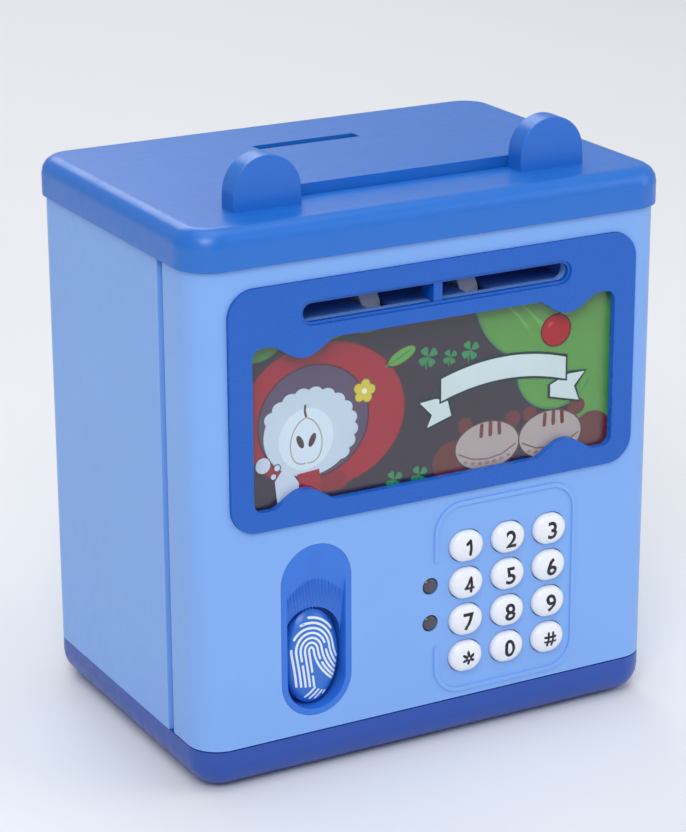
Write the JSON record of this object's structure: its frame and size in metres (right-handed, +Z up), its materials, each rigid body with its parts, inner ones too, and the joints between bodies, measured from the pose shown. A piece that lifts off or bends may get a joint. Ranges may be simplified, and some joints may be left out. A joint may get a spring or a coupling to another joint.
{
  "type": "toy savings bank",
  "caption": "Toy cash-machine savings bank: a box body with a hinged front door that carries a keypad, a finger pad, a picture window and a bank-note feeder, and a cap with two ears.",
  "frame": {"origin": "middle of the object's box in X and Y, on the surface it stands on", "axes": "+Z up, the door faces -Y, +X to the right of someone facing the door"},
  "size_m": [0.1544, 0.1102, 0.181],
  "materials": {
    "light_blue_abs": "moulded, semi-gloss",
    "royal_blue_abs": "moulded, glossy",
    "dark_blue_abs": "moulded, semi-gloss",
    "cap_blue_abs": "moulded, semi-gloss",
    "white_key": "moulded, glossy",
    "clear_window": "clear polystyrene",
    "printed_card": "printed card",
    "grey_silicone": "moulded silicone",
    "green_board": "epoxy board with solder mask",
    "black_plastic": "moulded",
    "smoked_lens": "smoked lens",
    "steel": "plated",
    "white_nylon": "moulded nylon",
    "black_rubber": "moulded",
    "foot_foam": "foam"
  },
  "bodies": {
    "body": {"body_shell": "light_blue_abs", "base": "dark_blue_abs", "bottom_plate": "dark_blue_abs", "foot_pads": "foot_foam", "base_screws": "steel", "top_cap": "cap_blue_abs", "strike_plate": "steel", "strike_screws": "steel"},
    "door": {"front_door": "light_blue_abs", "hinge_pins": "steel", "face_panel": "royal_blue_abs", "screen_window": "clear_window", "picture_card": "printed_card", "finger_channel": "royal_blue_abs", "finger_switch": "black_plastic", "sensor_board": "green_board", "key_membrane": "grey_silicone", "main_board": "green_board", "board_screws": "steel", "led_upper": "smoked_lens", "led_lower": "smoked_lens", "feed_housing": "light_blue_abs", "feed_motor": "steel", "feed_screws": "steel", "latch_frame": "light_blue_abs", "latch_motor": "black_plastic", "latch_screws": "steel", "speaker": "black_plastic", "speaker_clamp": "light_blue_abs", "speaker_screws": "steel", "door_cover": "light_blue_abs", "cover_screws": "steel", "battery_contacts": "steel", "battery_springs": "steel"},
    "finger_pad": {"finger_pad": "royal_blue_abs"},
    "feed_drive": {"feed_shaft": "steel", "feed_rollers": "white_nylon", "feed_gear": "white_nylon"},
    "pressure_drive": {"pressure_shaft": "steel", "pressure_rollers": "black_rubber"},
    "motor_rotor": {"motor_pinion": "white_nylon"},
    "latch_gear": {"latch_gear": "white_nylon"},
    "latch_bolt": {"latch_bolt": "white_nylon"},
    "battery_lid": {"battery_cover": "light_blue_abs", "battery_screw": "steel"},
    "key_1": {"key_1": "white_key"},
    "key_2": {"key_2": "white_key"},
    "key_3": {"key_3": "white_key"},
    "key_4": {"key_4": "white_key"},
    "key_5": {"key_5": "white_key"},
    "key_6": {"key_6": "white_key"},
    "key_7": {"key_7": "white_key"},
    "key_8": {"key_8": "white_key"},
    "key_9": {"key_9": "white_key"},
    "key_star": {"key_star": "white_key"},
    "key_0": {"key_0": "white_key"},
    "key_hash": {"key_hash": "white_key"}
  },
  "joints": [
    {"name": "door_hinge", "type": "hinge", "parent": "body", "child": "door", "pos_m": [-0.073, -0.0341, 0.084], "axis": [0, 0, -1], "range_deg": [0, 100]},
    {"name": "key_1_press", "type": "slide", "parent": "door", "child": "key_1", "axis": [0, 1, 0], "range_m": [0, 0.0012], "stiffness_N_per_m": 250},
    {"name": "key_2_press", "type": "slide", "parent": "door", "child": "key_2", "axis": [0, 1, 0], "range_m": [0, 0.0012], "stiffness_N_per_m": 250},
    {"name": "key_3_press", "type": "slide", "parent": "door", "child": "key_3", "axis": [0, 1, 0], "range_m": [0, 0.0012], "stiffness_N_per_m": 250},
    {"name": "key_4_press", "type": "slide", "parent": "door", "child": "key_4", "axis": [0, 1, 0], "range_m": [0, 0.0012], "stiffness_N_per_m": 250},
    {"name": "key_5_press", "type": "slide", "parent": "door", "child": "key_5", "axis": [0, 1, 0], "range_m": [0, 0.0012], "stiffness_N_per_m": 250},
    {"name": "key_6_press", "type": "slide", "parent": "door", "child": "key_6", "axis": [0, 1, 0], "range_m": [0, 0.0012], "stiffness_N_per_m": 250},
    {"name": "key_7_press", "type": "slide", "parent": "door", "child": "key_7", "axis": [0, 1, 0], "range_m": [0, 0.0012], "stiffness_N_per_m": 250},
    {"name": "key_8_press", "type": "slide", "parent": "door", "child": "key_8", "axis": [0, 1, 0], "range_m": [0, 0.0012], "stiffness_N_per_m": 250},
    {"name": "key_9_press", "type": "slide", "parent": "door", "child": "key_9", "axis": [0, 1, 0], "range_m": [0, 0.0012], "stiffness_N_per_m": 250},
    {"name": "key_star_press", "type": "slide", "parent": "door", "child": "key_star", "axis": [0, 1, 0], "range_m": [0, 0.0012], "stiffness_N_per_m": 250},
    {"name": "key_0_press", "type": "slide", "parent": "door", "child": "key_0", "axis": [0, 1, 0], "range_m": [0, 0.0012], "stiffness_N_per_m": 250},
    {"name": "key_hash_press", "type": "slide", "parent": "door", "child": "key_hash", "axis": [0, 1, 0], "range_m": [0, 0.0012], "stiffness_N_per_m": 250},
    {"name": "finger_pad_press", "type": "slide", "parent": "door", "child": "finger_pad", "axis": [0, 1, 0], "range_m": [0, 0.0015], "stiffness_N_per_m": 300},
    {"name": "feed_shaft_turn", "type": "hinge", "parent": "door", "child": "feed_drive", "pos_m": [0, -0.0362, 0.133], "axis": [1, 0, 0], "continuous": true},
    {"name": "pressure_shaft_turn", "type": "hinge", "parent": "door", "child": "pressure_drive", "pos_m": [0, -0.0362, 0.1439], "axis": [1, 0, 0], "continuous": true},
    {"name": "motor_turn", "type": "hinge", "parent": "door", "child": "motor_rotor", "pos_m": [0.05, -0.02899, 0.12147], "axis": [1, 0, 0], "continuous": true},
    {"name": "latch_gear_turn", "type": "hinge", "parent": "door", "child": "latch_gear", "pos_m": [0.0456, -0.0277, 0.0584], "axis": [0, -1, 0], "range_deg": [0, 57.4]},
    {"name": "latch_bolt_slide", "type": "slide", "parent": "door", "child": "latch_bolt", "axis": [1, 0, 0], "range_m": [0, 0.006]},
    {"name": "battery_lid_lift", "type": "slide", "parent": "door", "child": "battery_lid", "axis": [0, 1, 0], "range_m": [0, 0.012]}
  ],
  "couplings": [
    {"joint": "motor_turn", "follows": "feed_shaft_turn", "ratio": -2.4},
    {"joint": "latch_gear_turn", "follows": "latch_bolt_slide", "rad_per_m": 166.67}
  ]
}
